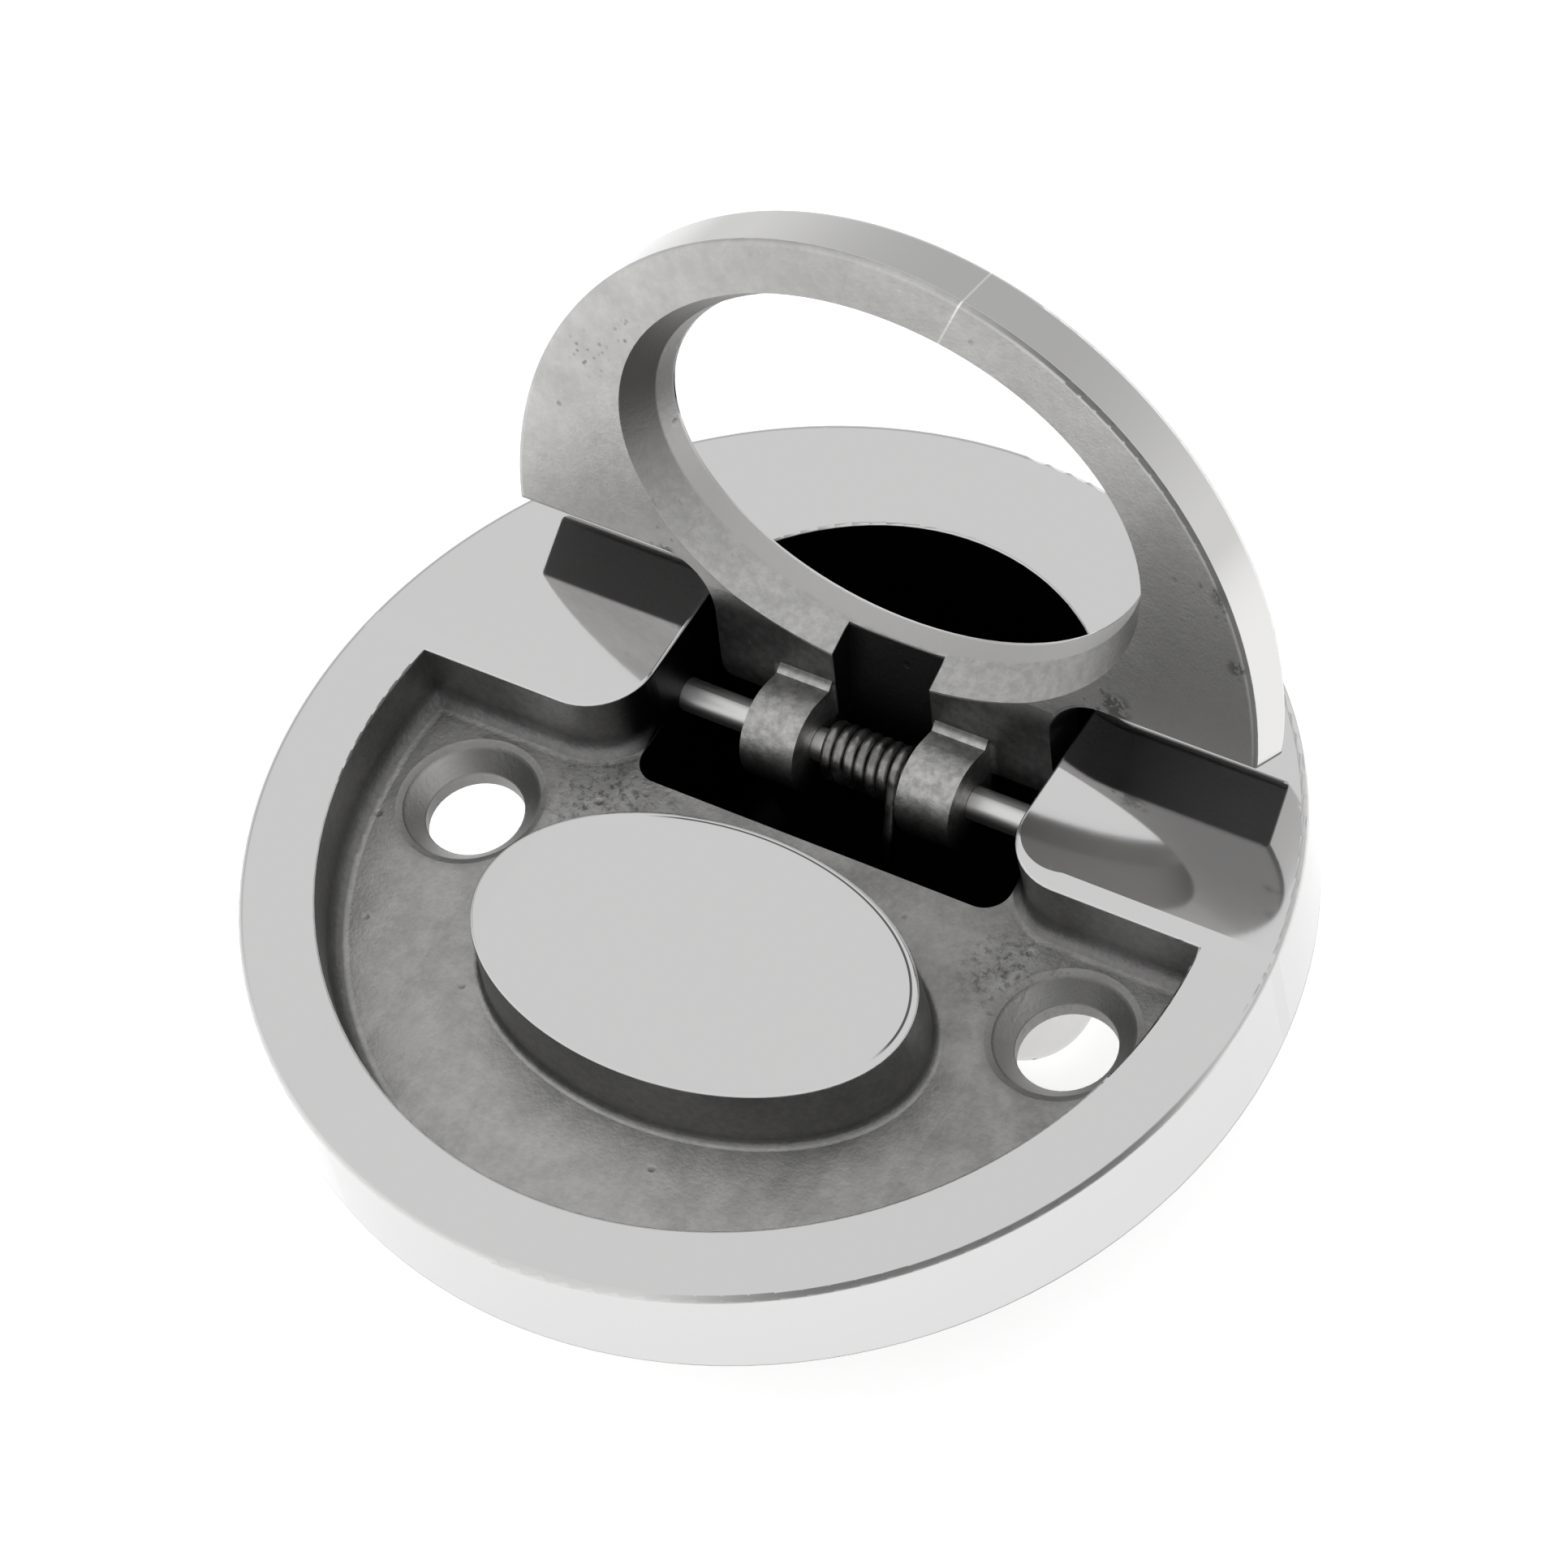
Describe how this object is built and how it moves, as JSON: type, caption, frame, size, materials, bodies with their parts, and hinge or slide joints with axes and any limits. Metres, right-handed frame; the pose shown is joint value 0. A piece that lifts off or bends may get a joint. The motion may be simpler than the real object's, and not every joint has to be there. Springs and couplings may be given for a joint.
{
  "type": "flush pull ring",
  "caption": "Round flush pull ring: a polished countersunk plate with a closed cup below and a hinged ring that folds flat round an oval boss.",
  "frame": {"origin": "centre of the round plate's flat underside, the face that lies on the deck or hatch", "axes": "+X along the hinge pin, +Y to the rear of the plate where the cup is, +Z out of the polished face"},
  "size_m": [0.076, 0.076, 0.0614],
  "materials": {
    "plate_steel": "mirror polished face and rim, as-cast grain in the recess and the cup",
    "ring_steel": "polished face and outer rim, as-cast grain on the underside",
    "pin_steel": "bright drawn rod",
    "spring_steel": "dull spring wire"
  },
  "bodies": {
    "plate": {"mounting_plate": "plate_steel", "hinge_pin": "pin_steel", "torsion_spring": "spring_steel"},
    "ring": {"pull_ring": "ring_steel"}
  },
  "joints": [
    {"name": "ring_hinge", "type": "hinge", "parent": "plate", "child": "ring", "pos_m": [0, 0.0125, 0.0023], "axis": [1, 0, 0], "range_deg": [0, 105], "deforming": ["torsion_spring"]}
  ]
}
